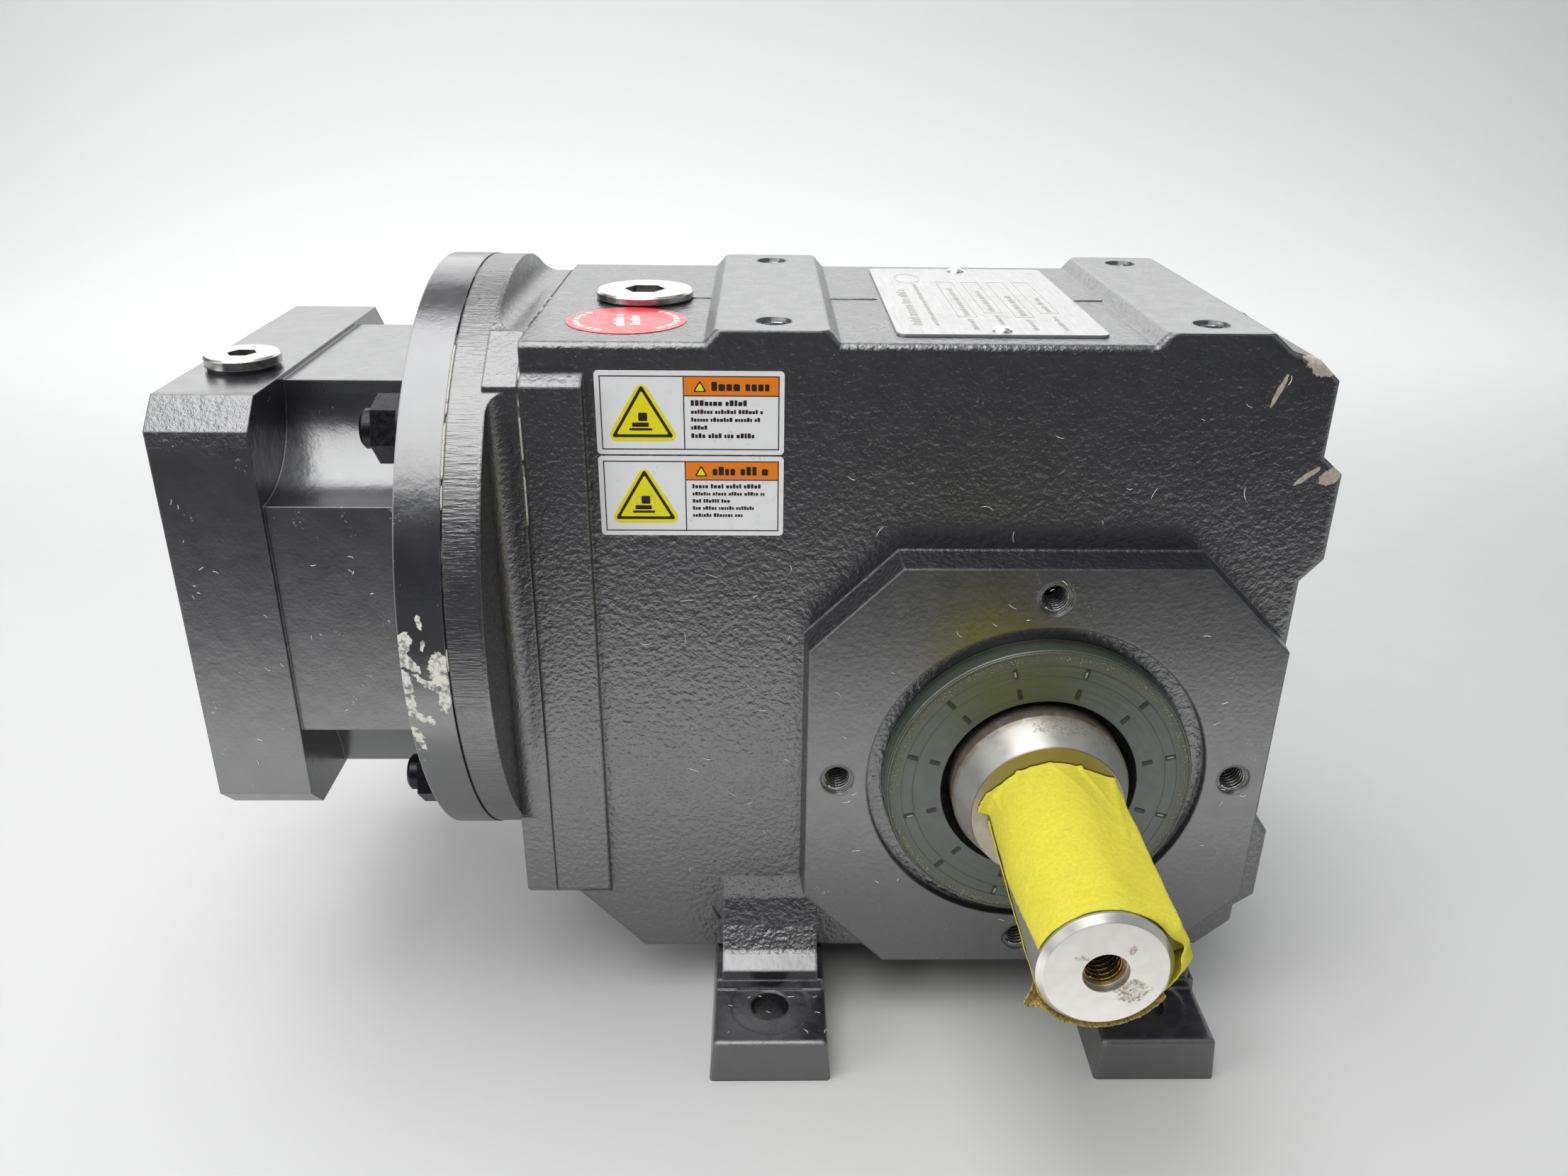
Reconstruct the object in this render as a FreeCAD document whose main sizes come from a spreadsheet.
import FreeCAD, Part
import math
import os
import Sketcher

# Right-angle helical-bevel gear reducer: a cast gear case on two foot bars, a solid keyed
# output shaft along Y, and an intermediate cover and motor adapter on the -X end.
# Frame: millimetres, +Z up, X along the input axis, origin on the mounting plane at the
# middle of the four foot holes.

DIMENSIONS = [
    ("output_x", 21.5, "output axis from the middle of the feet"),
    ("output_height", 100, "output axis above the mounting plane"),
    ("input_rise", 53, "input axis above the output axis"),
    ("case_half_width", 64, "cast side faces from the mid-plane"),
    ("case_bottom", 20.5, "underside of the case"),
    ("case_top", 240.2, "recessed top of the case"),
    ("case_end", 101.5, "end wall of the case"),
    ("case_wall", 10, "case wall thickness"),
    ("rail_top", 244, "top of the upper mounting rails"),
    ("rail_half_spacing", 65, "upper rails from the middle"),
    ("rail_half_width", 16, "half the width of an upper rail"),
    ("end_rail_face", 108, "face of the two rails on the end wall"),
    ("seam_cover", -138.5, "joint between case and intermediate cover"),
    ("case_flange_width", 18, "thickness of the case flange"),
    ("flange_half_width", 68, "flange sides from the mid-plane"),
    ("flange_bottom", 46, "underside of the flanges"),
    ("flange_facet_wide", 18, "width of the facet on the flange's upper corners"),
    ("flange_facet_deep", 12, "height of the same facet"),
    ("gasket", 0.5, "gasket thickness"),
    ("cover_flange_width", 10, "thickness of the cover's square flange"),
    ("band_radius", 100, "round rim of the cover and of the adapter"),
    ("band_width", 10.7, "thickness of the cover's round rim"),
    ("disc_width", 13.3, "thickness of the adapter's round flange"),
    ("neck_length", 44.7, "adapter neck"),
    ("neck_half", 69, "half the width of the adapter neck"),
    ("scoop_radius", 30.5, "round corner reliefs of the neck"),
    ("plate_half", 70.6, "half the side of the motor plate"),
    ("plate_width", 29.8, "thickness of the motor plate"),
    ("plate_chamfer", 8.65, "corner chamfer of the motor plate"),
    ("pilot_radius", 55, "motor pilot recess, radius"),
    ("pilot_depth", 5, "motor pilot recess, depth"),
    ("motor_circle", 72.5, "radius of the motor bolt circle"),
    ("motor_hole", 4.25, "tapped motor bolt hole, radius"),
    ("motor_hole_depth", 23, "depth of a motor bolt hole"),
    ("stud_circle", 85, "radius of the adapter stud circle"),
    ("stud_radius", 6, "adapter stud, radius"),
    ("pad_half", 75, "half the width of the output pads"),
    ("pad_cut", 28, "corner cut of the output pads"),
    ("pad_face", 76, "output pad faces from the mid-plane"),
    ("pad_circle", 65, "radius of the output pad bolt circle"),
    ("tapped_hole", 4.25, "tapped M10 hole, radius"),
    ("tapped_mouth", 5.4, "countersunk mouth of a tapped hole, radius"),
    ("tapped_depth", 16, "depth of a tapped hole"),
    ("ring_radius", 55.4, "centring recess of the output pads, radius"),
    ("ring_depth", 3.2, "centring recess of the output pads, depth"),
    ("seat_radius", 50, "output bearing and seal bore, near side"),
    ("far_seat_radius", 45, "output bearing bore, far side"),
    ("foot_half_spacing", 65, "foot bars from the middle, along X"),
    ("foot_hole_reach", 88.5, "foot holes from the mid-plane, along Y"),
    ("foot_hole", 6.5, "foot hole, radius"),
    ("foot_reach", 106.5, "half the length of a foot bar"),
    ("foot_ear", 16.5, "thickness of the foot ears"),
    ("foot_base_half", 20.4, "half the width of a foot bar at the bottom"),
    ("foot_crown_half", 18.6, "half the width of a foot bar at the top"),
    ("foot_step", 81, "raised middle of a foot bar, half its length"),
    ("foot_block_half", 16.5, "half the width of the cast blocks above a foot bar"),
    ("foot_screw_across", 9, "foot bar screws from the bar's middle, along X"),
    ("foot_screw_reach", 50, "foot bar screws from the mid-plane"),
    ("screw_clearance", 4.5, "clearance hole of the M8 screws, radius"),
    ("screw_hole", 4, "tapped M8 hole, radius"),
    ("shaft_radius", 18.25, "output shaft end, radius"),
    ("shaft_tip", 166, "output shaft end from the mid-plane"),
    ("shaft_shoulder", 95, "shoulder of the output shaft from the mid-plane"),
    ("journal_radius", 28.4, "output shaft seal journal, radius"),
    ("shaft_bore", 5.1, "tapped M12 centre hole, radius"),
    ("keyway_width", 9.6, "output keyway width"),
    ("keyway_depth", 5, "output keyway depth"),
    ("keyway_angle", 68, "output keyway, degrees clockwise from the top"),
    ("keyway_margin", 5, "shaft end to the start of the keyway"),
    ("cone_radius", 24, "small end of the cone behind the shaft shoulder, radius"),
    ("near_bore", 27.5, "output shaft seat of the near bearing, radius"),
    ("far_bore", 25, "output shaft seat of the far bearing, radius"),
    ("collar_radius", 33, "output shaft collar and spacer, radius"),
    ("gear_seat", 27, "crown gear seat on the output shaft, radius"),
    ("rear_bore", 17.5, "pinion shaft seat of the rear bearing, radius"),
    ("rear_seat", 36, "pinion rear bearing bore, radius"),
    ("front_bore", 20, "pinion shaft seat of the front bearing, radius"),
    ("front_seat", 40, "pinion front bearing bore, radius"),
    ("cover_bore", 15, "input shaft seat of the cover bearing, radius"),
    ("cover_seat", 31, "input cover bearing bore, radius"),
    ("hub_bore", 20, "input shaft seat of the adapter bearing, radius"),
    ("hub_seat", 40, "input adapter bearing bore, radius"),
    ("oil_seal_bore", 17.5, "input shaft seat of the oil seal, radius"),
    ("oil_seal_seat", 26, "input oil seal bore, radius"),
    ("wheel_bore", 16, "first-stage wheel bore, radius"),
    ("lock_nut_radius", 20, "pinion lock nut, outer radius"),
    ("crown_key_width", 16, "crown gear key width"),
    ("wheel_key_width", 8, "first-stage wheel key width"),
    ("crown_teeth", 31, "teeth of the bevel crown gear"),
    ("bevel_teeth", 11, "teeth of the bevel pinion"),
    ("bevel_module", 4, "bevel gear module at the large end"),
    ("bevel_face", 20, "bevel face width"),
    ("wheel_teeth", 36, "teeth of the first-stage wheel"),
    ("pinion_teeth", 17, "teeth of the first-stage pinion"),
    ("gear_module", 2, "first-stage module"),
    ("gear_face", 16, "first-stage face width"),
    ("wheel_left", -134, "left face of the first-stage wheel"),
    ("backlash", 0.35, "tooth thinning at the pitch circle"),
    ("plug_x", -107.4, "filler plug along X"),
    ("plug_radius", 16, "filler plug collar, radius"),
    ("plug_thread", 13, "filler plug thread, radius"),
    ("drain_x", -95, "drain plug along X"),
    ("drain_height", 42, "drain plug above the mounting plane"),
    ("drain_thread", 9, "drain plug thread, radius"),
    ("access_thread", 8, "access plug thread, radius"),
    ("clamp_offset", 29.5, "clamp screw and its plug from the mid-plane"),
    ("clamp_radius", 40, "clamp ring, outer radius"),
    ("hub_radius", 24, "clamping hub, outer radius"),
    ("motor_bore", 12, "motor shaft bore, radius"),
    ("label_left", -117.2, "left edge of the side labels"),
    ("upper_label_low", 206.9, "underside of the upper side label"),
    ("lower_label_low", 181, "underside of the lower side label"),
    ("label_thickness", 0.2, "side label and sticker thickness"),
    ("label_width", 55.3, "side label width"),
    ("label_height", 25.3, "side label height"),
    ("sticker_radius", 18.5, "round sticker, radius"),
    ("plate_x", 3.2, "nameplate, middle along X"),
    ("rivet_reach", 48.8, "nameplate rivets from the mid-plane"),
    ("plate_long", 107.5, "nameplate, along Y"),
    ("plate_short", 63.5, "nameplate, along X"),
    ("plate_thickness", 0.8, "nameplate thickness"),
    ("rail_bolt_reach", 51.3, "bolt holes of the rails from the mid-plane"),
    ("end_bolt_low", 57, "lower bolt holes of the end rails"),
    ("end_bolt_high", 187, "upper bolt holes of the end rails"),
]

doc = FreeCAD.newDocument("GearReducer")
sheet = doc.addObject("Spreadsheet::Sheet", "dims")
for row, (alias, amount, note) in enumerate(DIMENSIONS, start=1):
    sheet.set("A%d" % row, note)
    sheet.set("B%d" % row, str(amount))
    sheet.setAlias("B%d" % row, alias)
doc.recompute()


class Size:
    """A length kept twice: as a number and as a formula over the dimension sheet."""

    def __init__(self, amount, formula=None):
        self.amount = float(amount)
        self.formula = formula or repr(float(amount))

    def __add__(self, other):
        other = size(other)
        return Size(self.amount + other.amount, "(%s + %s)" % (self.formula, other.formula))

    def __sub__(self, other):
        other = size(other)
        return Size(self.amount - other.amount, "(%s - %s)" % (self.formula, other.formula))

    def __mul__(self, number):
        return Size(self.amount * number, "(%s * %r)" % (self.formula, float(number)))

    def __neg__(self):
        return self * -1

    def __radd__(self, other):
        return size(other) + self

    def __rsub__(self, other):
        return size(other) - self


def size(amount):
    return amount if isinstance(amount, Size) else Size(amount)


def dim(alias):
    """A driving dimension, bound to its cell."""
    return Size(sheet.get(alias), "dims.%s" % alias)


def bind(thing, prop, amount):
    """Give a property its formula, so that it follows the sheet."""
    thing.setExpression(prop, size(amount).formula)


TURN_TO = {
    "X": FreeCAD.Rotation(),
    "-X": FreeCAD.Rotation(FreeCAD.Vector(0, 0, 1), 180),
    "Y": FreeCAD.Rotation(FreeCAD.Vector(0, 0, 1), 90),
    "-Y": FreeCAD.Rotation(FreeCAD.Vector(0, 0, 1), -90),
    "Z": FreeCAD.Rotation(FreeCAD.Vector(0, 1, 0), -90),
    "-Z": FreeCAD.Rotation(FreeCAD.Vector(0, 1, 0), 90),
}

subparts = []


def place(thing, where, turn="X"):
    """Put a sub-part at a point, with its own X axis turned to a world axis."""
    thing.Placement = FreeCAD.Placement(FreeCAD.Vector(), TURN_TO[turn])
    for axis, amount in zip("xyz", where):
        bind(thing, "Placement.Base.%s" % axis, amount)


def keep(thing):
    """List a finished sub-part for writing."""
    subparts.append(thing)
    return thing


def new_body(label):
    body = doc.addObject("PartDesign::Body", label)
    body.Label = label
    return body


def new_sketch(body, role, offset=0):
    """A sketch on one of the body's origin planes, moved along the plane's normal."""
    sketch = body.newObject("Sketcher::SketchObject", body.Label + "_sketch")
    planes = [feature for feature in body.Origin.OriginFeatures if feature.Role == role]
    sketch.AttachmentSupport = [(planes[0], "")]
    sketch.MapMode = "FlatFace"
    bind(sketch, "AttachmentOffset.Base.z", offset)
    return sketch


def pin_point(sketch, edge, end, point):
    """Hold one point of a sketch at its own two formulas."""
    for kind, amount in zip(("DistanceX", "DistanceY"), point):
        amount = size(amount)
        held = Sketcher.Constraint(kind, -1, 1, edge, end, amount.amount)
        index = sketch.addConstraint(held)
        sketch.setExpression("Constraints[%d]" % index, amount.formula)


def add_outline(sketch, points):
    """A closed outline of straight edges through the points."""
    corners = [FreeCAD.Vector(size(a).amount, size(b).amount, 0) for a, b in points]
    first = sketch.GeometryCount
    count = len(corners)
    for index in range(count):
        sketch.addGeometry(Part.LineSegment(corners[index], corners[(index + 1) % count]), False)
    for index in range(count):
        following = first + (index + 1) % count
        sketch.addConstraint(Sketcher.Constraint("Coincident", first + index, 2, following, 1))
    for index, point in enumerate(points):
        pin_point(sketch, first + index, 1, point)


def add_circle(sketch, centre, radius):
    radius = size(radius)
    middle = FreeCAD.Vector(size(centre[0]).amount, size(centre[1]).amount, 0)
    edge = sketch.addGeometry(Part.Circle(middle, FreeCAD.Vector(0, 0, 1), radius.amount), False)
    index = sketch.addConstraint(Sketcher.Constraint("Radius", edge, radius.amount))
    sketch.setExpression("Constraints[%d]" % index, radius.formula)
    pin_point(sketch, edge, 3, centre)


def rectangle(left, right, low, high):
    return [(left, low), (right, low), (right, high), (left, high)]


def mirrored(points):
    """The same outline on the other side of the second axis."""
    return [(-size(a), b) for a, b in points]


def extrude(kind, sketch, length, symmetric=False, backwards=False, taper=0):
    body = sketch.getParentGeoFeatureGroup()
    feature = body.newObject("PartDesign::" + kind, body.Label + "_" + kind.lower())
    feature.Profile = sketch
    feature.SideType = "Symmetric" if symmetric else "One side"
    feature.Reversed = backwards
    feature.TaperAngle = taper
    bind(feature, "Length", length)
    return feature


def pad(sketch, length, **options):
    return extrude("Pad", sketch, length, **options)


def pocket(sketch, length, **options):
    """Take the profile away, and check that it really met the solid."""
    body = sketch.getParentGeoFeatureGroup()
    doc.recompute()
    before = body.Shape.Volume
    feature = extrude("Pocket", sketch, length, **options)
    doc.recompute()
    if body.Shape.Volume > before - 1:
        raise RuntimeError("%s: a pocket removes nothing" % body.Label)
    return feature


def turned(label, outline, where, turn="X"):
    """A body of revolution about its own X axis, from (axial, radius) corners."""
    body = new_body(label)
    sketch = new_sketch(body, "XY_Plane")
    add_outline(sketch, outline)
    feature = body.newObject("PartDesign::Revolution", label + "_revolution")
    feature.Profile = sketch
    feature.ReferenceAxis = (sketch, ["H_Axis"])
    feature.Angle = 360
    place(body, where, turn)
    return body


def ring(label, inner, outer, length, where, turn="X"):
    return turned(label, rectangle(0, length, inner, outer), where, turn)


def hexagon(sketch, centre, across_flats, start=0):
    """A hexagon whose first corner stands at the start angle."""
    reach = size(across_flats) * (0.5 / math.cos(math.pi / 6))
    corners = []
    for step in range(6):
        angle = math.radians(start + 60 * step)
        across = size(centre[0]) + reach * math.cos(angle)
        along = size(centre[1]) + reach * math.sin(angle)
        corners.append((across, along))
    add_outline(sketch, corners)


def group(label, master, places, turn="X"):
    """One node that holds separate copies of a master piece."""
    copies = []
    for where in places:
        copy = doc.addObject("App::Link", label + "_copy")
        copy.LinkedObject = master
        copy.LinkTransform = False
        place(copy, where, turn)
        copies.append(copy)
    compound = doc.addObject("Part::Compound", label)
    compound.Label = label
    compound.Links = copies
    return keep(compound)


def four(half_across, half_along):
    """The four corners of a rectangle about the middle."""
    spread = []
    for across in (-1, 1):
        for along in (-1, 1):
            spread.append((half_across * across, half_along * along))
    return spread


def edges_that(shape, test):
    """Names of the edges whose middle point passes the test."""
    names = []
    for index, edge in enumerate(shape.Edges, start=1):
        span = edge.ParameterRange
        if test(edge, edge.valueAt(0.5 * (span[0] + span[1]))):
            names.append("Edge%d" % index)
    return names


def fillet(body, radius, test):
    """Round the chosen edges of a body."""
    doc.recompute()
    base = body.Tip
    names = edges_that(base.Shape, test)
    if not names:
        raise RuntimeError("%s: no edge to round" % body.Label)
    feature = body.newObject("PartDesign::Fillet", body.Label + "_fillet")
    feature.Base = (base, names)
    feature.Radius = radius
    doc.recompute()
    return feature


OUTPUT_X = dim("output_x")
OUTPUT_Z = dim("output_height")
INPUT_Z = OUTPUT_Z + dim("input_rise")
SEAM = dim("seam_cover")
COVER_RIGHT = SEAM - dim("gasket")
COVER_LEFT = COVER_RIGHT - dim("cover_flange_width") + 1.5 - dim("band_width")
DISC_RIGHT = COVER_LEFT - dim("gasket")
DISC_LEFT = DISC_RIGHT - dim("disc_width")
PLATE_RIGHT = DISC_LEFT - dim("neck_length")
PLATE_LEFT = PLATE_RIGHT - dim("plate_width")
RAIL = dim("rail_half_spacing")
RAIL_HALF = dim("rail_half_width")
SIDE = dim("case_half_width")
FLANGE_SIDE = dim("flange_half_width")
SCREW_SEAT = COVER_RIGHT - dim("cover_flange_width")
SCREW_PLACES = [(40, 72), (60, 153), (32, 226)]
DRAIN_X = dim("drain_x")
DRAIN_Z = dim("drain_height")
LABEL_FILM = dim("label_thickness")


def foot_screws():
    """Screws of one foot bar, about the bar's middle."""
    return four(dim("foot_screw_across"), dim("foot_screw_reach"))


def flange_outline():
    """Square flange with two facets at the top and small ones at the bottom."""
    top = dim("case_top")
    low = dim("flange_bottom")
    facet_side = top - dim("flange_facet_deep")
    facet_top = FLANGE_SIDE - dim("flange_facet_wide")
    small = 4
    half = [
        (FLANGE_SIDE - small, low),
        (FLANGE_SIDE, low + small),
        (FLANGE_SIDE, facet_side),
        (facet_top, top),
    ]
    return half + mirrored(reversed(half))


def case_outline():
    """Side view of the case: rails on top, two rails on the end, cut lower corners."""
    low = dim("case_bottom")
    top = dim("case_top")
    rail_top = dim("rail_top")
    end = dim("case_end")
    rail_face = dim("end_rail_face")
    slope = 3.5
    points = [
        (SEAM, 46),
        (-133.5, 46),
        (-110, low),
        (90, low),
        (end, low + 11),
        (end, 38),
        (rail_face, 43),
        (rail_face, 70),
        (end, 79),
        (end, 165.5),
        (rail_face, 173),
        (rail_face, 201),
        (end, 206.5),
        (end, 230),
        (95, 236),
        (RAIL + RAIL_HALF + 5, 239),
        (RAIL + RAIL_HALF - 1, rail_top),
        (RAIL - RAIL_HALF, rail_top),
        (RAIL - RAIL_HALF - slope, top),
        (slope - RAIL + RAIL_HALF, top),
        (RAIL_HALF - RAIL, rail_top),
        (-RAIL - RAIL_HALF - 1, rail_top),
        (-RAIL - RAIL_HALF - 1 - slope, top),
        (SEAM, top),
    ]
    return points


def octagon():
    """Output pad outline, about the output axis."""
    half = dim("pad_half")
    flat = half - dim("pad_cut")
    corners = [(half, -flat), (half, flat), (flat, half), (-flat, half)]
    corners += [(-half, flat), (-half, -flat), (-flat, -half), (flat, -half)]
    return [(OUTPUT_X + across, OUTPUT_Z + up) for across, up in corners]


def add_holes(sketch, centres, radius):
    for centre in centres:
        add_circle(sketch, centre, radius)


def drill(body, role, offset, centres, radius, depth, backwards=False):
    """Round pockets into a face that lies on an origin plane's parallel."""
    sketch = new_sketch(body, role, offset)
    add_holes(sketch, centres, radius)
    return pocket(sketch, depth, backwards=backwards)


def tap(body, role, offset, centres, radius, mouth, depth, backwards=False):
    """Tapped holes with a short wide mouth."""
    drill(body, role, offset, centres, radius, depth, backwards)
    drill(body, role, offset, centres, mouth, 1, backwards)


def case_solids(body):
    """The outside of the gear case, before its bores."""
    sketch = new_sketch(body, "XZ_Plane")
    add_outline(sketch, case_outline())
    pad(sketch, SIDE * 2, symmetric=True)
    side = sheet.get("case_half_width")
    crest = sheet.get("rail_top")
    seam = sheet.get("seam_cover")

    def rounded_rim(edge, middle):
        on_side = abs(abs(middle.y) - side) < 0.01
        return on_side and middle.z < crest - 0.01 and middle.x > seam + 0.01

    fillet(body, 2.5, rounded_rim)
    sketch = new_sketch(body, "YZ_Plane", SEAM)
    add_outline(sketch, flange_outline())
    pad(sketch, dim("case_flange_width"))
    pad_height = dim("pad_face") - SIDE + 2
    for side in (1, -1):
        sketch = new_sketch(body, "XZ_Plane", dim("pad_face") * side)
        add_outline(sketch, octagon())
        pad(sketch, pad_height, backwards=side > 0, taper=6)
    step = dim("foot_step")
    low = dim("case_bottom")
    root = SIDE - 4
    for middle in (-1, 1):
        block_left = dim("foot_half_spacing") * middle - dim("foot_block_half")
        sketch = new_sketch(body, "YZ_Plane", block_left)
        for side in (1, -1):
            blend = [(root, 52), (SIDE, 52), (SIDE + 1.5, 44), (SIDE + 5, 35)]
            blend += [(SIDE + 10.5, 28), (step, low + 4), (step, low), (root, low)]
            add_outline(sketch, [(across * side, up) for across, up in blend])
        pad(sketch, dim("foot_block_half") * 2)
    sketch = new_sketch(body, "XZ_Plane", SIDE)
    mark = [(-88.5, 33.5), (-82.5, 33.5), (-85.5, 39)]
    add_outline(sketch, mark)
    pad(sketch, 0.7)


def case_chambers(body):
    """Bevel gear chamber, oil chamber, first-stage chamber and the bearing bores."""
    wall = dim("case_wall")
    inside = (SIDE - wall) * 2
    sketch = new_sketch(body, "XZ_Plane")
    right = dim("case_end") - wall
    floor = dim("case_bottom") + wall
    roof = dim("case_top") - wall
    chamber = [(-52, floor), (right - 8, floor), (right, floor + 8)]
    chamber += [(right, roof - 8), (right - 8, roof), (-52, roof)]
    add_outline(sketch, chamber)
    add_outline(sketch, rectangle(-119, -60, 186, roof))
    pocket(sketch, inside, symmetric=True)
    for side in (1, -1):
        sketch = new_sketch(body, "XZ_Plane", (SIDE - wall + 2) * side)
        seat = dim("seat_radius") if side > 0 else dim("far_seat_radius")
        add_circle(sketch, (OUTPUT_X, OUTPUT_Z), seat + wall)
        pad(sketch, 20 if side > 0 else 14, backwards=side > 0)
    for side in (1, -1):
        centre = [(OUTPUT_X, OUTPUT_Z)]
        seat = dim("seat_radius") if side > 0 else dim("far_seat_radius")
        face = dim("pad_face") * side
        drill(body, "XZ_Plane", face, centre, seat, dim("pad_face") - 35, side < 0)
        drill(body, "XZ_Plane", face, centre, dim("ring_radius"), dim("ring_depth"), side < 0)
    left_to_wheel = -118 - SEAM
    wheel_room = [(0, OUTPUT_Z)]
    drill(body, "YZ_Plane", SEAM, wheel_room, 42, left_to_wheel, True)
    drill(body, "YZ_Plane", SEAM, [(0, INPUT_Z)], 25, left_to_wheel, True)
    drill(body, "YZ_Plane", SEAM, wheel_room, dim("rear_seat"), -98 - SEAM, True)
    drill(body, "YZ_Plane", SEAM, wheel_room, 30, -52 - SEAM, True)
    drill(body, "YZ_Plane", -74, wheel_room, dim("front_seat"), 23, True)


def case_holes(body):
    """Tapped holes for mounting, cover, foot bars and plugs."""
    tapped = (dim("tapped_hole"), dim("tapped_mouth"), dim("tapped_depth"))
    circle = dim("pad_circle")
    around = [(OUTPUT_X + circle, OUTPUT_Z), (OUTPUT_X, OUTPUT_Z + circle)]
    around += [(OUTPUT_X - circle, OUTPUT_Z), (OUTPUT_X, OUTPUT_Z - circle)]
    for side in (1, -1):
        tap(body, "XZ_Plane", dim("pad_face") * side, around, *tapped, side < 0)
    bolt_reach = dim("rail_bolt_reach")
    tap(body, "XY_Plane", dim("rail_top"), four(RAIL, bolt_reach), *tapped)
    rail_holes = []
    for level in ("end_bolt_low", "end_bolt_high"):
        rail_holes += [(-bolt_reach, dim(level)), (bolt_reach, dim(level))]
    tap(body, "YZ_Plane", dim("end_rail_face"), rail_holes, *tapped)
    places = SCREW_PLACES + mirrored(SCREW_PLACES)
    drill(body, "YZ_Plane", SEAM, places, dim("screw_hole"), 18, True)
    foot_places = []
    for middle in (-1, 1):
        for across, along in foot_screws():
            foot_places.append((dim("foot_half_spacing") * middle + across, along))
    drill(body, "XY_Plane", dim("case_bottom"), foot_places, dim("screw_hole"), 9, True)
    drill(body, "XY_Plane", dim("case_top"), [(dim("plug_x"), 0)], dim("plug_thread"), 14)
    rivets = [(dim("plate_x"), dim("rivet_reach")), (dim("plate_x"), -dim("rivet_reach"))]
    drill(body, "XY_Plane", dim("case_top"), rivets, 1.5, 4)
    drill(body, "XZ_Plane", -SIDE, [(DRAIN_X, DRAIN_Z)], dim("drain_thread"), 14, True)


def gear_case():
    body = new_body("gear_case")
    case_solids(body)
    case_chambers(body)
    case_holes(body)
    return keep(body)


def intermediate_cover():
    """Square flange towards the case, round rim towards the adapter."""
    body = new_body("intermediate_cover")
    sketch = new_sketch(body, "YZ_Plane", COVER_LEFT)
    add_circle(sketch, (0, INPUT_Z), dim("band_radius"))
    pad(sketch, dim("band_width"))
    sketch = new_sketch(body, "YZ_Plane", COVER_RIGHT)
    add_outline(sketch, flange_outline())
    pad(sketch, dim("cover_flange_width"), backwards=True)
    rim_face = COVER_LEFT.amount + sheet.get("band_width")

    def on_rim_face(edge, middle):
        flat = abs(middle.x - rim_face) < 0.01 and edge.Curve.TypeId == "Part::GeomLine"
        return flat

    fillet(body, 5, on_rim_face)
    drill(body, "YZ_Plane", COVER_RIGHT, [(0, INPUT_Z)], dim("cover_seat"), 17)
    drill(body, "YZ_Plane", COVER_RIGHT, [(0, INPUT_Z)], 20, 25)
    drill(body, "YZ_Plane", COVER_RIGHT, [(0, OUTPUT_Z)], 22, 8)
    reach = dim("stud_circle") * math.cos(math.pi / 4)
    studs = [(across, INPUT_Z + up) for across, up in four(reach, reach)]
    drill(body, "YZ_Plane", COVER_LEFT, studs, dim("stud_radius"), 14, True)
    places = SCREW_PLACES + mirrored(SCREW_PLACES)
    drill(body, "YZ_Plane", COVER_RIGHT, places, dim("screw_clearance"), dim("cover_flange_width"))
    drill(body, "YZ_Plane", SCREW_SEAT, places, 7.2, dim("band_width"))
    return keep(body)


def gasket(label, right, outline=None, holes=()):
    """A thin sheet between two flanges."""
    body = new_body(label)
    sketch = new_sketch(body, "YZ_Plane", right)
    if outline:
        add_outline(sketch, outline)
    else:
        add_circle(sketch, (0, INPUT_Z), dim("band_radius") - 0.6)
    for centre, radius in holes:
        add_circle(sketch, centre, radius)
    pad(sketch, dim("gasket"), backwards=True)
    return keep(body)


def gaskets():
    places = SCREW_PLACES + mirrored(SCREW_PLACES)
    holes = [(spot, dim("screw_clearance")) for spot in places]
    holes += [((0, INPUT_Z), dim("cover_seat")), ((0, OUTPUT_Z - 2), 22.5)]
    gasket("case_gasket", SEAM, flange_outline(), holes)
    reach = dim("stud_circle") * math.cos(math.pi / 4)
    studs = [((across, INPUT_Z + up), dim("stud_radius") + 0.5) for across, up in four(reach, reach)]
    screws = [(spot, 7.2) for spot in places if spot[1] > 100]
    gasket("adapter_gasket", COVER_LEFT, None, studs + screws + [((0, INPUT_Z), 27)])


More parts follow.
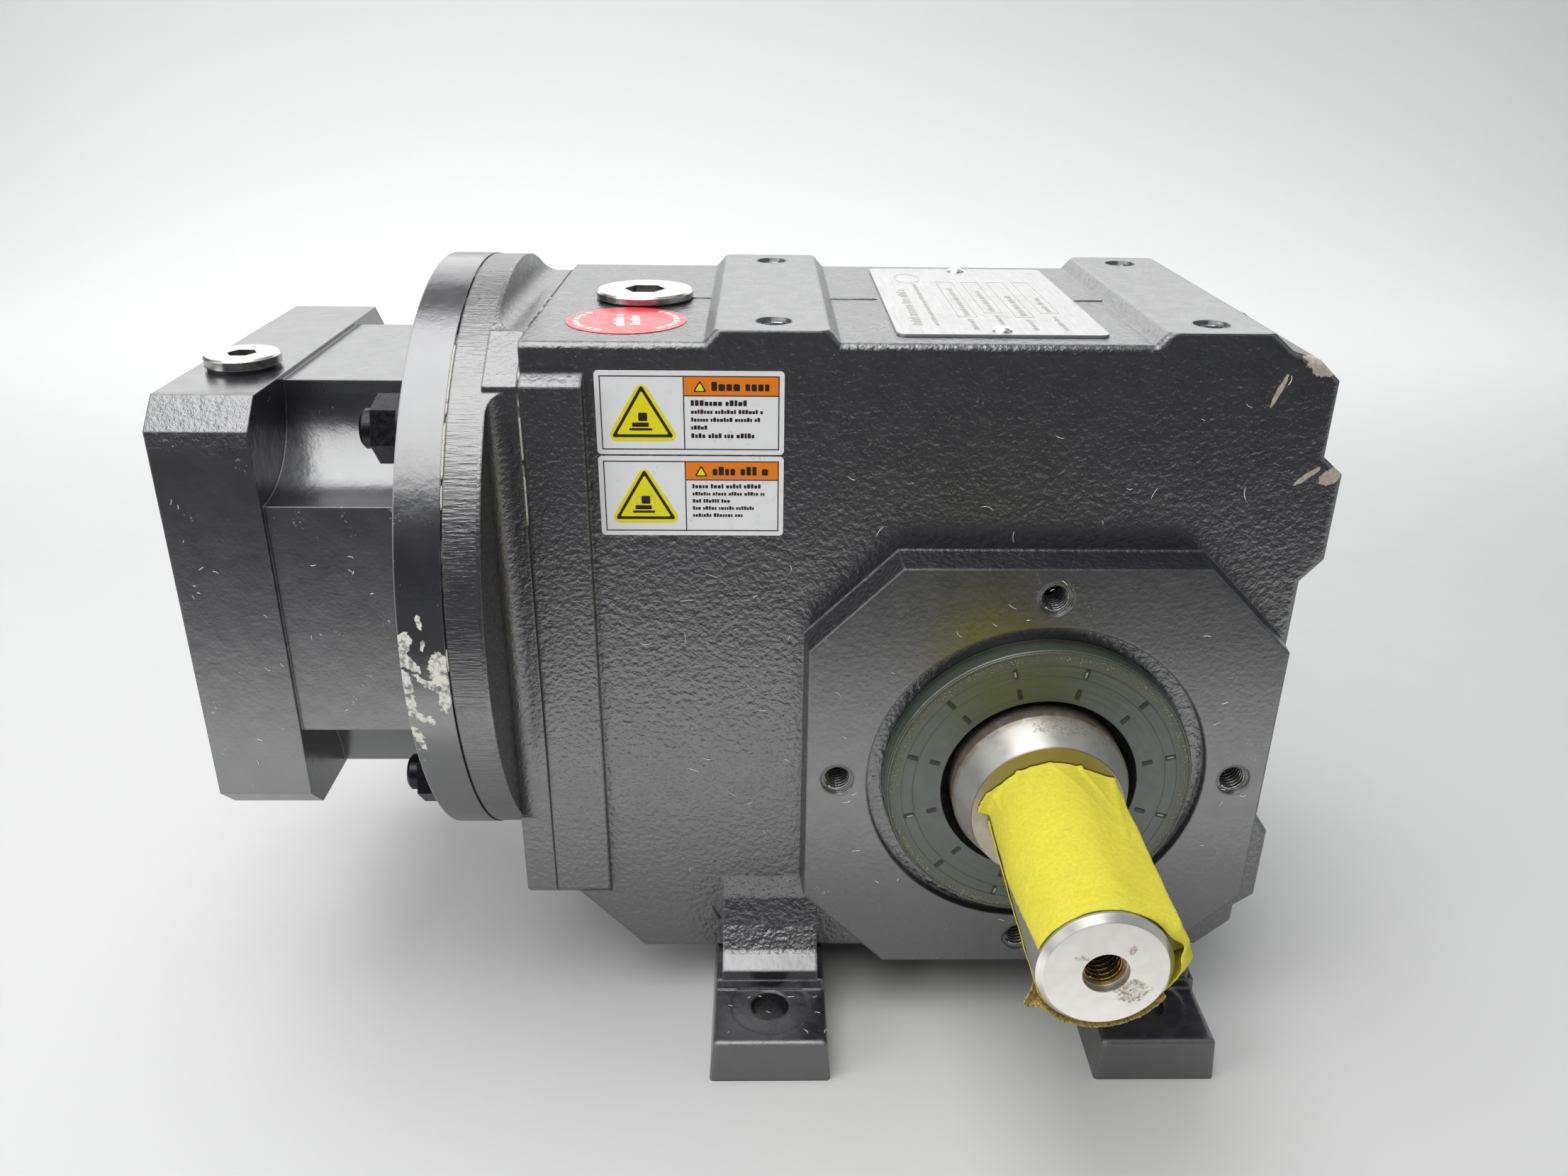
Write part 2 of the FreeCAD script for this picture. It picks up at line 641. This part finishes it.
def motor_adapter():
    """Square motor plate, relieved neck and round flange in one casting."""
    body = new_body("motor_adapter")
    half = dim("plate_half")
    flat = half - dim("plate_chamfer")
    corners = [(half, -flat), (half, flat), (flat, half), (-flat, half)]
    corners += [(-half, flat), (-half, -flat), (-flat, -half), (flat, -half)]
    sketch = new_sketch(body, "YZ_Plane", PLATE_LEFT)
    add_outline(sketch, [(across, INPUT_Z + up) for across, up in corners])
    pad(sketch, dim("plate_width"))
    neck = dim("neck_half")
    sketch = new_sketch(body, "YZ_Plane", PLATE_RIGHT)
    add_outline(sketch, rectangle(-neck, neck, INPUT_Z - neck, INPUT_Z + neck))
    pad(sketch, dim("neck_length"))
    sketch = new_sketch(body, "YZ_Plane", PLATE_RIGHT)
    add_holes(sketch, [(a, INPUT_Z + b) for a, b in four(neck, neck)], dim("scoop_radius"))
    pocket(sketch, dim("neck_length"), backwards=True)
    sketch = new_sketch(body, "YZ_Plane", DISC_LEFT)
    add_circle(sketch, (0, INPUT_Z), dim("band_radius") + 0.3)
    pad(sketch, dim("disc_width"))
    axis = [(0, INPUT_Z)]
    through = DISC_RIGHT - PLATE_LEFT
    drill(body, "YZ_Plane", PLATE_LEFT, axis, dim("pilot_radius"), dim("pilot_depth"), True)
    drill(body, "YZ_Plane", PLATE_LEFT, axis, 46, -194 - PLATE_LEFT, True)
    drill(body, "YZ_Plane", PLATE_LEFT, axis, dim("hub_seat"), -174 - PLATE_LEFT, True)
    drill(body, "YZ_Plane", PLATE_LEFT, axis, dim("oil_seal_seat"), through, True)
    reach = dim("motor_circle") * math.cos(math.pi / 4)
    motor = [(a, INPUT_Z + b) for a, b in four(reach, reach)]
    drill(body, "YZ_Plane", PLATE_LEFT, motor, dim("motor_hole"), dim("motor_hole_depth"), True)
    reach = dim("stud_circle") * math.cos(math.pi / 4)
    studs = [(a, INPUT_Z + b) for a, b in four(reach, reach)]
    drill(body, "YZ_Plane", DISC_LEFT, studs, dim("stud_radius") + 0.5, dim("disc_width"), True)
    middle = PLATE_LEFT + dim("plate_width") * 0.5
    access = [(middle, -dim("clamp_offset"))]
    drill(body, "XY_Plane", INPUT_Z + half, access, dim("access_thread"), 45)
    return keep(body)


def foot_bar(label, side):
    """A bar across the case with a drilled ear at each end."""
    body = new_body(label)
    base = dim("foot_base_half")
    crown = dim("foot_crown_half")
    low = dim("case_bottom")
    sketch = new_sketch(body, "XZ_Plane")
    add_outline(sketch, [(-base, 0), (base, 0), (crown, low), (-crown, low)])
    pad(sketch, dim("foot_reach") * 2, symmetric=True)
    sketch = new_sketch(body, "YZ_Plane")
    ear = rectangle(dim("foot_step"), dim("foot_reach") + 5, dim("foot_ear"), low + 5)
    add_outline(sketch, ear)
    add_outline(sketch, mirrored(reversed(ear)))
    pocket(sketch, base * 4, symmetric=True)
    ear_top = sheet.get("foot_ear")
    reach = sheet.get("foot_reach")

    def top_of_ear(edge, middle):
        level = abs(middle.z - ear_top) < 0.01 and abs(middle.y) > sheet.get("foot_step") + 1
        upright = abs(abs(middle.y) - reach) < 0.01 and 0.1 < middle.z < ear_top - 0.1
        return level or upright

    fillet(body, 1.5, top_of_ear)
    holes = [(0, dim("foot_hole_reach")), (0, -dim("foot_hole_reach"))]
    drill(body, "XY_Plane", dim("foot_ear"), holes, dim("foot_hole"), 20)
    drill(body, "XY_Plane", dim("foot_ear"), holes, 13.5, 0.4)
    drill(body, "XY_Plane", 0, foot_screws(), 7.3, 9, True)
    drill(body, "XY_Plane", 0, foot_screws(), dim("screw_clearance"), 25, True)
    place(body, (dim("foot_half_spacing") * side, 0, 0))
    return keep(body)


def cap_screw(label, length, head_radius=6.5, head=8, shank=4, flats=6):
    """Socket-head screw along its own X axis, head below zero."""
    outline = [(-head, 0), (-head, head_radius - 0.5), (0.5 - head, head_radius)]
    outline += [(0, head_radius), (0, shank), (length, shank), (length, 0)]
    body = turned(label, outline, (0, 0, 0))
    sketch = new_sketch(body, "YZ_Plane", -head)
    hexagon(sketch, (0, 0), flats)
    pocket(sketch, 4, backwards=True)
    return body


def fasteners():
    screw = cap_screw("cover_screw_master", 26)
    places = SCREW_PLACES + mirrored(SCREW_PLACES)
    group("cover_screws", screw, [(SCREW_SEAT, across, up) for across, up in places])
    short = cap_screw("foot_screw_master", 18)
    seats = []
    for middle in (-1, 1):
        for across, along in foot_screws():
            seats.append((dim("foot_half_spacing") * middle + across, along, 9))
    group("foot_screws", short, seats, "Z")
    reach = dim("stud_circle") * math.cos(math.pi / 4)
    corners = [(across, INPUT_Z + up) for across, up in four(reach, reach)]
    radius = dim("stud_radius")
    ends = [(0, 0), (0, radius - 1), (1, radius), (39.5, radius), (39.5, 0)]
    stud = turned("stud_master", ends, (0, 0, 0))
    tip = DISC_LEFT - 14.5
    group("adapter_studs", stud, [(tip, across, up) for across, up in corners])
    washer = ring("washer_master", radius + 0.4, 11.5, 2, (0, 0, 0))
    group("adapter_washers", washer, [(DISC_LEFT - 2, across, up) for across, up in corners])
    nut = new_body("nut_master")
    sketch = new_sketch(nut, "YZ_Plane")
    hexagon(sketch, (0, 0), 18, 12)
    add_circle(sketch, (0, 0), radius)
    pad(sketch, 8)
    group("adapter_nuts", nut, [(DISC_LEFT - 10, across, up) for across, up in corners])


def plug(label, collar, thick, thread, depth, flats, where, turn):
    """Screw plug with a flat collar and a hexagon socket; its own X axis points outwards."""
    outline = [(-depth, 0), (-depth, thread), (0, thread), (0, collar)]
    outline += [(thick - 0.6, collar), (thick, collar - 0.6), (thick, 0)]
    body = turned(label, outline, where, turn)
    sketch = new_sketch(body, "YZ_Plane", thick)
    hexagon(sketch, (0, 0), flats, 30)
    pocket(sketch, 7)
    return keep(body)


def plugs():
    top = dim("case_top")
    collar = dim("plug_radius")
    keep(ring("filler_plug_seal", 13.2, collar - 0.8, 0.7, (dim("plug_x"), 0, top), "Z"))
    plug("filler_plug", collar, 2.4, dim("plug_thread"), 12, 12, (dim("plug_x"), 0, top + 0.7), "Z")
    middle = PLATE_LEFT + dim("plate_width") * 0.5
    plate_top = INPUT_Z + dim("plate_half")
    across = -dim("clamp_offset")
    keep(ring("access_plug_seal", 8.2, 10.8, 1.3, (middle, across, plate_top), "Z"))
    plug("access_plug", 11.5, 3.2, dim("access_thread"), 9, 8, (middle, across, plate_top + 1.3), "Z")
    keep(ring("drain_plug_seal", 9.2, 12, 1, (DRAIN_X, SIDE, DRAIN_Z), "Y"))
    plug("drain_plug", 12.5, 3, dim("drain_thread"), 11, 8, (DRAIN_X, SIDE + 1, DRAIN_Z), "Y")


def bearing(label, bore, outer, width, where, turn, count):
    """Outer ring, inner ring and a ring of rollers between plain races."""
    bore, outer = size(bore), size(outer)
    wall = (outer - bore) * 0.26
    play = 0.06
    keep(ring(label + "_outer_ring", outer - wall, outer, width, where, turn))
    keep(ring(label + "_inner_ring", bore, bore + wall, width, where, turn))
    roller = ((outer - bore) - wall * 2 - play) * 0.5
    master = turned(label + "_roller_master", rectangle(0, width - 6, 0, roller), (0, 0, 0))
    pitch = bore + wall + roller
    along = "xyz".index(turn.strip("-").lower())
    spots = []
    for step in range(count):
        angle = 2 * math.pi * step / count
        spot = [size(amount) for amount in where]
        spot[along] = spot[along] + 3
        spot[(along + 1) % 3] = spot[(along + 1) % 3] + pitch * math.cos(angle)
        spot[(along + 2) % 3] = spot[(along + 2) % 3] + pitch * math.sin(angle)
        spots.append(spot)
    group(label + "_rollers", master, spots, turn)


def bearings():
    axis = (OUTPUT_X, size(-60), OUTPUT_Z)
    bearing("output_near_bearing", dim("near_bore"), dim("seat_radius"), 22, axis, "Y", 17)
    axis = (OUTPUT_X, size(40), OUTPUT_Z)
    bearing("output_far_bearing", dim("far_bore"), dim("far_seat_radius"), 20, axis, "Y", 17)
    spot = (-116, 0, OUTPUT_Z)
    bearing("pinion_rear_bearing", dim("rear_bore"), dim("rear_seat"), 18, spot, "X", 14)
    spot = (-74, 0, OUTPUT_Z)
    bearing("pinion_front_bearing", dim("front_bore"), dim("front_seat"), 20, spot, "X", 14)
    spot = (-155, 0, INPUT_Z)
    bearing("input_cover_bearing", dim("cover_bore"), dim("cover_seat"), 16, spot, "X", 13)
    spot = (-192, 0, INPUT_Z)
    bearing("input_adapter_bearing", dim("hub_bore"), dim("hub_seat"), 18, spot, "X", 14)


def seals_and_covers():
    """Output shaft seal, far end cap with its circlip, and the input oil seal."""
    seat = dim("seat_radius")
    lip = dim("journal_radius") + 0.06
    outline = [(-80, 31.8), (-74, lip), (-64, lip), (-64, seat), (-72.8, seat)]
    outline += [(-72.8, seat - 0.4), (-79.4, seat - 0.4), (-80, seat - 1)]
    keep(turned("output_shaft_seal", outline, (OUTPUT_X, 0, OUTPUT_Z), "Y"))
    far = dim("far_seat_radius")
    cap = [(62, 0), (62, far), (71, far), (71, far - 3), (69, far - 5), (69, 0)]
    keep(turned("far_end_cap", cap, (OUTPUT_X, 0, OUTPUT_Z), "Y"))
    clip = ring("far_cap_circlip", far - 4, far, 1.8, (OUTPUT_X, 71, OUTPUT_Z), "Y")
    sketch = new_sketch(clip, "YZ_Plane")
    add_outline(sketch, rectangle(-6, 6, 0, far + 5))
    pocket(sketch, 5, symmetric=True)
    keep(clip)
    lip = dim("oil_seal_bore") + 0.06
    keep(ring("input_oil_seal", lip, dim("oil_seal_seat"), 8, (-169, 0, INPUT_Z), "X"))


def thin_plate(label, role, offset, outline, thick, corner, upright):
    """A thin sheet with rounded corners; upright names the axis along its thickness."""
    body = new_body(label)
    sketch = new_sketch(body, role, offset)
    add_outline(sketch, outline)
    pad(sketch, thick)

    def corner_edge(edge, middle):
        first, last = edge.Vertexes[0].Point, edge.Vertexes[-1].Point
        return abs(getattr(first, upright) - getattr(last, upright)) > 0.05

    fillet(body, corner, corner_edge)
    return body


def plates_and_labels():
    top = dim("case_top")
    long_half = dim("plate_long") * 0.5
    short_half = dim("plate_short") * 0.5
    centre = dim("plate_x")
    rivets = [(centre, dim("rivet_reach")), (centre, -dim("rivet_reach"))]
    outline = rectangle(centre - short_half, centre + short_half, -long_half, long_half)
    thick = dim("plate_thickness")
    plate = thin_plate("nameplate", "XY_Plane", top, outline, thick, 3, "z")
    drill(plate, "XY_Plane", top + thick, rivets, 1.6, thick)
    keep(plate)
    head = [(-3, 0), (-3, 1.5), (0.8, 1.5), (0.8, 3.2), (1.4, 2.9), (2, 2), (2.3, 0)]
    rivet = turned("rivet_master", head, (0, 0, 0))
    group("nameplate_rivets", rivet, [(across, along, top) for across, along in rivets], "Z")
    left = dim("label_left")
    right = left + dim("label_width")
    for label in ("upper_label", "lower_label"):
        low = dim(label + "_low")
        outline = rectangle(left, right, low, low + dim("label_height"))
        keep(thin_plate(label, "XZ_Plane", SIDE, outline, LABEL_FILM, 1.2, "y"))
    spot = (dim("plug_x") - 2.8, -34.8, top)
    keep(ring("round_sticker", 0, dim("sticker_radius"), LABEL_FILM, spot, "Z"))


def involute(angle):
    return math.tan(angle) - angle


def tooth_flank(pitch_radius, module, thinning, steps=4):
    """(radius, half angle) pairs up one flank of a 20-degree involute tooth."""
    pressure = math.radians(20)
    base = pitch_radius * math.cos(pressure)
    tip = pitch_radius + 0.92 * module
    root = pitch_radius - 1.2 * module
    at_pitch = (math.pi * module * 0.5 - thinning) * 0.5 / pitch_radius
    flank = []
    start = max(base, root)
    for step in range(steps):
        radius = start + (tip - start) * step / (steps - 1)
        turn = involute(math.acos(min(1.0, base / radius)))
        flank.append((radius, at_pitch + involute(pressure) - turn))
    if base > root:
        flank.insert(0, (root, flank[0][1]))
    return flank


def spur_outline(teeth, module, thinning, start):
    """Full outline of a spur gear in the YZ plane, first tooth at the start angle."""
    flank = tooth_flank(teeth * module * 0.5, module, thinning)
    points = []
    for tooth in range(teeth):
        middle = math.radians(start) + 2 * math.pi * tooth / teeth
        both = [(r, -half) for r, half in flank] + [(r, half) for r, half in reversed(flank)]
        for radius, turn in both:
            angle = middle + turn
            points.append(FreeCAD.Vector(0, radius * math.cos(angle), radius * math.sin(angle)))
    return points


def spur_solid(teeth, module, thinning, face, start):
    points = spur_outline(teeth, module, thinning, start)
    wire = Part.makePolygon(points + points[:1])
    return Part.Face(wire).extrude(FreeCAD.Vector(face, 0, 0))


def prismatoid(first, second):
    """Solid between two flat outlines whose matching sides are parallel."""
    faces = [Part.Face(Part.makePolygon(ends + ends[:1])) for ends in (first, second)]
    count = len(first)
    for index in range(count):
        following = (index + 1) % count
        side = [first[index], first[following], second[following], second[index], first[index]]
        faces.append(Part.Face(Part.makePolygon(side)))
    solid = Part.makeSolid(Part.makeShell(faces))
    if solid.Volume < 0:
        solid.reverse()
    return solid


def bevel_teeth(teeth, mate, module, face, thinning):
    """Teeth about the X axis that taper to the cone apex at the origin."""
    cone = math.atan2(teeth, mate)
    cone_distance = module * teeth * 0.5 / math.sin(cone)
    back_radius = module * teeth * 0.5 / math.cos(cone)
    shrink = (cone_distance - face) / cone_distance
    flank = tooth_flank(back_radius, module, thinning)
    sunk = (flank[0][0] - 0.25 * module, flank[0][1])
    half = [sunk] + flank
    both = [(r, -turn) for r, turn in half] + [(r, turn) for r, turn in reversed(half)]
    centre = FreeCAD.Vector(math.cos(cone), math.sin(cone), 0) * cone_distance
    outwards = FreeCAD.Vector(-math.sin(cone), math.cos(cone), 0)
    sideways = FreeCAD.Vector(0, 0, 1)
    large = []
    for radius, turn in both:
        rise = radius * math.cos(turn) - back_radius
        large.append(centre + outwards * rise + sideways * (radius * math.sin(turn)))
    small = [point * shrink for point in large]
    tooth = prismatoid(large, small)
    solids = []
    for step in range(teeth):
        copy = tooth.copy()
        copy.rotate(FreeCAD.Vector(), FreeCAD.Vector(1, 0, 0), 360.0 * step / teeth)
        solids.append(copy)
    return solids


def fixed_shape(label, shape, where, turn="X"):
    feature = doc.addObject("Part::Feature", label)
    feature.Label = label
    feature.Shape = shape
    place(feature, where, turn)
    return feature


def turned_solid(outline):
    """Solid of revolution about X from (axial, radius) corners."""
    points = [FreeCAD.Vector(axial, radius, 0) for axial, radius in outline]
    face = Part.Face(Part.makePolygon(points + points[:1]))
    return face.revolve(FreeCAD.Vector(), FreeCAD.Vector(1, 0, 0), 360)


def bar_solid(start, length, side, height, low):
    """A rectangular bar along X, for keys and keyways."""
    corner = FreeCAD.Vector(start, -side * 0.5, low)
    return Part.makeBox(length, side, height, corner)


def bevel_numbers():
    names = ("crown_teeth", "bevel_teeth", "bevel_module", "bevel_face", "backlash")
    return [sheet.get(name) for name in names]


def crown_gear():
    """Crown wheel: hub, web and rim behind the teeth, keyed to the output shaft."""
    teeth, mate, module, face, thinning = bevel_numbers()
    blank = [(-6, 27), (-6, 34), (14, 36.5), (18.2, 41.4), (26.6, 60.6), (33, 60.6)]
    blank += [(38, 50), (38, 40), (40, 38), (40, 27)]
    shape = turned_solid(blank).multiFuse(bevel_teeth(teeth, mate, module, face, thinning))
    shape = shape.removeSplitter()
    key_width = sheet.get("crown_key_width")
    shape = shape.cut(bar_solid(-10, 60, key_width, 11.3, 20))
    keep(fixed_shape("crown_gear", shape, (OUTPUT_X, 0, OUTPUT_Z), "Y"))
    key = bar_solid(2, 34, key_width, 10, 21)
    keep(fixed_shape("crown_gear_key", key, (OUTPUT_X, 0, OUTPUT_Z), "Y"))


def output_shaft():
    """Keyed shaft end, sealing journal, collar, bearing seats and gear seat."""
    end = dim("shaft_radius")
    journal = dim("journal_radius")
    tip = -dim("shaft_tip")
    shoulder = -dim("shaft_shoulder")
    outline = [(tip, 0), (tip, end - 1.7), (tip + 1.7, end), (shoulder, end)]
    collar = dim("collar_radius")
    near_bore = dim("near_bore")
    far_bore = dim("far_bore")
    gear_seat = dim("gear_seat")
    outline += [(shoulder, dim("cone_radius")), (-83, journal), (-63.5, journal)]
    outline += [(-63.5, collar), (-60, collar), (-60, near_bore), (-38, near_bore)]
    outline += [(-38, gear_seat), (40, gear_seat), (40, far_bore), (61, far_bore), (61, 0)]
    body = turned("output_shaft", outline, (OUTPUT_X, 0, OUTPUT_Z), "Y")
    centre = [(0, 0)]
    drill(body, "YZ_Plane", tip, centre, dim("shaft_bore"), 28, True)
    drill(body, "YZ_Plane", tip, centre, 6.3, 2.5, True)
    sketch = new_sketch(body, "XY_Plane", 21)
    key_half = dim("crown_key_width") * 0.5
    add_outline(sketch, rectangle(2, 36, -key_half, key_half))
    pocket(sketch, 8, backwards=True)
    doc.recompute()
    blank = doc.addObject("Part::Box", "output_keyway")
    bind(blank, "Length", dim("shaft_tip") - dim("shaft_shoulder") - 12)
    bind(blank, "Width", dim("keyway_width"))
    bind(blank, "Height", dim("keyway_depth") + 3)
    clock = math.radians(sheet.get("keyway_angle"))
    low = dim("shaft_radius") - dim("keyway_depth")
    turn = FreeCAD.Rotation(FreeCAD.Vector(0, 0, 1), 90)
    lean = FreeCAD.Rotation(FreeCAD.Vector(0, 1, 0), math.degrees(clock))
    blank.Placement = FreeCAD.Placement(FreeCAD.Vector(), lean.multiply(turn))
    half = dim("keyway_width") * 0.5
    bind(blank, "Placement.Base.x", OUTPUT_X + low * math.sin(clock) + half * math.cos(clock))
    bind(blank, "Placement.Base.y", tip + dim("keyway_margin"))
    bind(blank, "Placement.Base.z", OUTPUT_Z + low * math.cos(clock) - half * math.sin(clock))
    cut = doc.addObject("Part::Cut", "output_shaft_keyed")
    cut.Base = body
    cut.Tool = blank
    body.Label = "output_shaft_blank"
    cut.Label = "output_shaft"
    keep(cut)
    keep(ring("output_spacer", gear_seat, collar, 32, (OUTPUT_X, -38, OUTPUT_Z), "Y"))


def pinion_shaft():
    """Bevel pinion in one piece with its shaft, its wheel, key and lock nut."""
    mate, teeth, module, face, thinning = bevel_numbers()
    apex = OUTPUT_X.amount
    front = sheet.get("front_bore")
    rear = sheet.get("rear_bore")
    bore = sheet.get("wheel_bore")
    nut_bore = 15
    outline = [(44.5, 0), (44.5, 11.9), (63.8, 17.2), (66, 24), (75.5, 24), (75.5, front)]
    outline += [(95.5, front), (95.5, 19), (119.5, 19), (119.5, rear), (139, rear), (139, bore)]
    outline += [(155.5, bore), (155.5, nut_bore), (164, nut_bore), (164, 0)]
    shape = turned_solid(outline).multiFuse(bevel_teeth(teeth, mate, module, face, thinning))
    wheel_left = sheet.get("wheel_left")
    key_start = apex - wheel_left - 15
    key_width = sheet.get("wheel_key_width")
    shape = shape.removeSplitter().cut(bar_solid(key_start, 14, key_width, 8, 12))
    keep(fixed_shape("bevel_pinion_shaft", shape, (OUTPUT_X, 0, OUTPUT_Z), "-X"))
    wheel_teeth = int(sheet.get("wheel_teeth"))
    first_face = sheet.get("gear_face")
    wheel = spur_solid(wheel_teeth, sheet.get("gear_module"), thinning, first_face, 0)
    wheel = wheel.cut(Part.makeCylinder(bore, first_face, FreeCAD.Vector(), FreeCAD.Vector(1, 0, 0)))
    wheel = wheel.cut(bar_solid(-1, first_face + 2, key_width, 9.3, 10))
    keep(fixed_shape("first_stage_wheel", wheel, (dim("wheel_left"), 0, OUTPUT_Z)))
    key = bar_solid(1, 14, key_width, 7, 12)
    keep(fixed_shape("first_stage_wheel_key", key, (dim("wheel_left"), 0, OUTPUT_Z)))
    keep(ring("pinion_spacer", dim("rear_bore"), 23, 2, (-118, 0, OUTPUT_Z)))
    nut_left = dim("wheel_left") - 8
    keep(ring("pinion_lock_nut", nut_bore, dim("lock_nut_radius"), 8, (nut_left, 0, OUTPUT_Z)))


def input_shaft():
    """Hollow clamping hub, bearing seats and the first-stage pinion in one piece."""
    bore = sheet.get("motor_bore")
    hub = sheet.get("hub_radius")
    hub_bore = sheet.get("hub_bore")
    seal_bore = sheet.get("oil_seal_bore")
    cover_bore = sheet.get("cover_bore")
    outline = [(-240, bore), (-240, hub), (-192, hub), (-192, hub_bore), (-174, hub_bore)]
    outline += [(-174, seal_bore), (-157, seal_bore), (-157, cover_bore), (-138, cover_bore)]
    outline += [(-138, 13.5), (-118, 13.5), (-118, 0), (-188, 0), (-188, bore)]
    shape = turned_solid(outline)
    teeth = int(sheet.get("pinion_teeth"))
    face = sheet.get("gear_face")
    pinion = spur_solid(teeth, sheet.get("gear_module"), sheet.get("backlash"), face, 90)
    pinion.translate(FreeCAD.Vector(sheet.get("wheel_left"), 0, 0))
    shape = shape.fuse(pinion).removeSplitter()
    for turn in (0, 90):
        slit = Part.makeBox(34, 60, 1.6, FreeCAD.Vector(-242, -30, -0.8))
        slit.rotate(FreeCAD.Vector(), FreeCAD.Vector(1, 0, 0), turn + 45)
        shape = shape.cut(slit)
    keep(fixed_shape("input_pinion_shaft", shape, (0, 0, INPUT_Z)))


def clamp():
    """Slit clamp ring on the hub, and its screw at right angles to the slit."""
    ring_left = PLATE_LEFT + 7
    offset = dim("clamp_offset")
    body = ring("clamp_ring", dim("hub_radius"), dim("clamp_radius"), 16, (ring_left, 0, INPUT_Z))
    sketch = new_sketch(body, "XY_Plane")
    add_outline(sketch, rectangle(-2, 20, -45, -20))
    pocket(sketch, 3, symmetric=True)
    screw_at = [(7.9, -offset)]
    drill(body, "XY_Plane", 9, screw_at, 5.2, 40, True)
    drill(body, "XY_Plane", -25, screw_at, 3, 40, True)
    keep(body)
    screw = cap_screw("clamp_screw", 26, head_radius=5, head=6, shank=3, flats=5)
    place(screw, (ring_left + 7.9, -offset, INPUT_Z + 9), "-Z")
    keep(screw)


gear_case()
intermediate_cover()
gaskets()
motor_adapter()
foot_bar("left_foot_bar", -1)
foot_bar("right_foot_bar", 1)
fasteners()
plugs()
bearings()
seals_and_covers()
plates_and_labels()
output_shaft()
crown_gear()
pinion_shaft()
input_shaft()
clamp()
doc.recompute()

for thing in doc.Objects:
    if "Invalid" in thing.State or "Error" in thing.State:
        raise RuntimeError("%s is not up to date: %s" % (thing.Label, thing.State))
for thing in subparts:
    if thing.Shape.isNull() or not thing.Shape.isValid():
        raise RuntimeError("%s has no valid shape" % thing.Label)

os.makedirs("parts", exist_ok=True)
for thing in subparts:
    thing.Shape.exportStep("parts/%s.step" % thing.Label)
print("%d sub-parts" % len(subparts))
